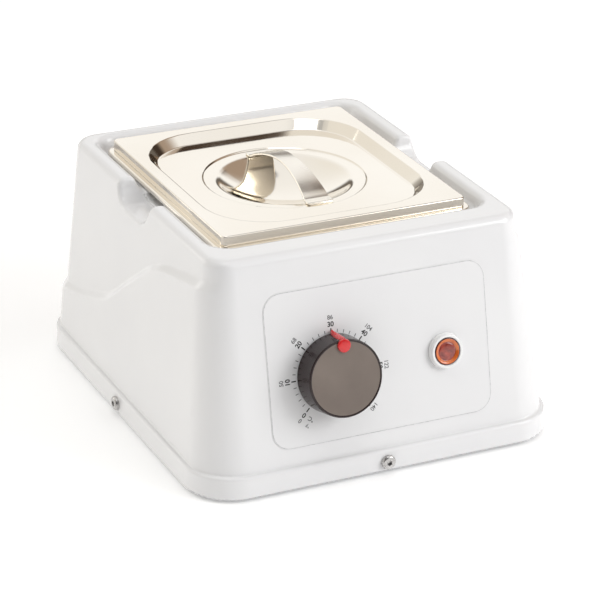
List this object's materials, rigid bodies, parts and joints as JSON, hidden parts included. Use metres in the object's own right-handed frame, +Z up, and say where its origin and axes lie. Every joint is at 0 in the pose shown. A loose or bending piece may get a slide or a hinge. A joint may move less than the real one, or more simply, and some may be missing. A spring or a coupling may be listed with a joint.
{
  "type": "paraffin wax bath",
  "caption": "Small dry-heat bath: white moulded housing with a wavy shoulder, dial knob and lamp on the sloped front, and a lift-out steel pan under a recessed lid with a strap handle.",
  "frame": {"origin": "on the surface it stands on, under the middle of the overall box", "axes": "+Z up, -Y towards the sloped front with the knob, +X to the right seen from the front"},
  "size_m": [0.2328, 0.2654, 0.1406],
  "materials": {
    "white_abs": "glossy moulded white",
    "label_film": "thin printed film, satin",
    "knob_black": "dark brown-black, satin face and glossy side",
    "pointer_red": "glossy red",
    "lens_red": "translucent orange-red lens",
    "bezel_white": "glossy white",
    "polished_steel": "stainless, polished almost to a mirror",
    "zinc_steel": "zinc-plated sheet and fasteners",
    "stainless_screw": "stainless, turned",
    "well_aluminium": "deep-drawn, satin",
    "foot_rubber": "matt black",
    "heater_silicone": "brick-red silicone mat",
    "insulation": "needled glass-fibre felt",
    "nylon": "natural nylon",
    "black_resin": "black moulded resin",
    "brass_metal": "plain brass",
    "copper_tube": "drawn copper",
    "neon_glass": "clear glass bulb",
    "wire_brown": "brown insulation",
    "wire_blue": "blue insulation",
    "wire_green": "green and yellow insulation",
    "wire_white": "white silicone sleeving"
  },
  "bodies": {
    "housing": {"housing": "white_abs", "control_label": "label_film", "base_plate": "zinc_steel", "base_screws": "stainless_screw", "base_rivet_nuts": "zinc_steel", "rubber_feet": "foot_rubber", "foot_screws": "stainless_screw", "foot_nuts": "zinc_steel", "thermostat_body": "black_resin", "thermostat_terminals": "brass_metal", "thermostat_screws": "stainless_screw", "lamp_bezel": "bezel_white", "lamp_lens": "lens_red", "lamp_nut": "nylon", "lamp_holder": "nylon", "lamp_neon": "neon_glass", "heating_well": "well_aluminium", "wall_heater": "heater_silicone", "bottom_heater": "heater_silicone", "insulation_wrap": "insulation", "insulation_pad": "insulation", "well_brackets": "zinc_steel", "well_screws": "stainless_screw", "sensor_bulb": "copper_tube", "bulb_clips": "zinc_steel", "capillary_tube": "copper_tube", "thermal_fuse": "nylon", "fuse_clip": "zinc_steel", "terminal_block": "nylon", "terminal_screws": "brass_metal", "earth_stud": "brass_metal", "earth_nut": "brass_metal", "earth_ring_terminal": "brass_metal", "inlet_socket": "black_resin", "inlet_pins": "brass_metal", "inlet_screws": "stainless_screw", "inlet_nuts": "zinc_steel", "live_wire": "wire_brown", "neutral_wire": "wire_blue", "earth_wire": "wire_green", "thermostat_wires": "wire_brown", "fuse_leads": "wire_white", "lamp_leads": "wire_white"},
    "knob": {"knob": "knob_black", "knob_pointer": "pointer_red", "knob_spring_ring": "zinc_steel", "thermostat_spindle": "zinc_steel"},
    "pan": {"pan": "polished_steel"},
    "lid": {"lid": "polished_steel", "lid_handle": "polished_steel"}
  },
  "joints": [
    {"name": "knob_turn", "type": "hinge", "parent": "housing", "child": "knob", "pos_m": [-0.029, -0.11239, 0.06335], "axis": [0, -0.9766, 0.215], "range_deg": [-135, 135]},
    {"name": "pan_lift", "type": "slide", "parent": "housing", "child": "pan", "axis": [0, 0, 1], "range_m": [0, 0.105]},
    {"name": "lid_lift", "type": "slide", "parent": "pan", "child": "lid", "axis": [0, 0, 1], "range_m": [0, 0.06]}
  ]
}
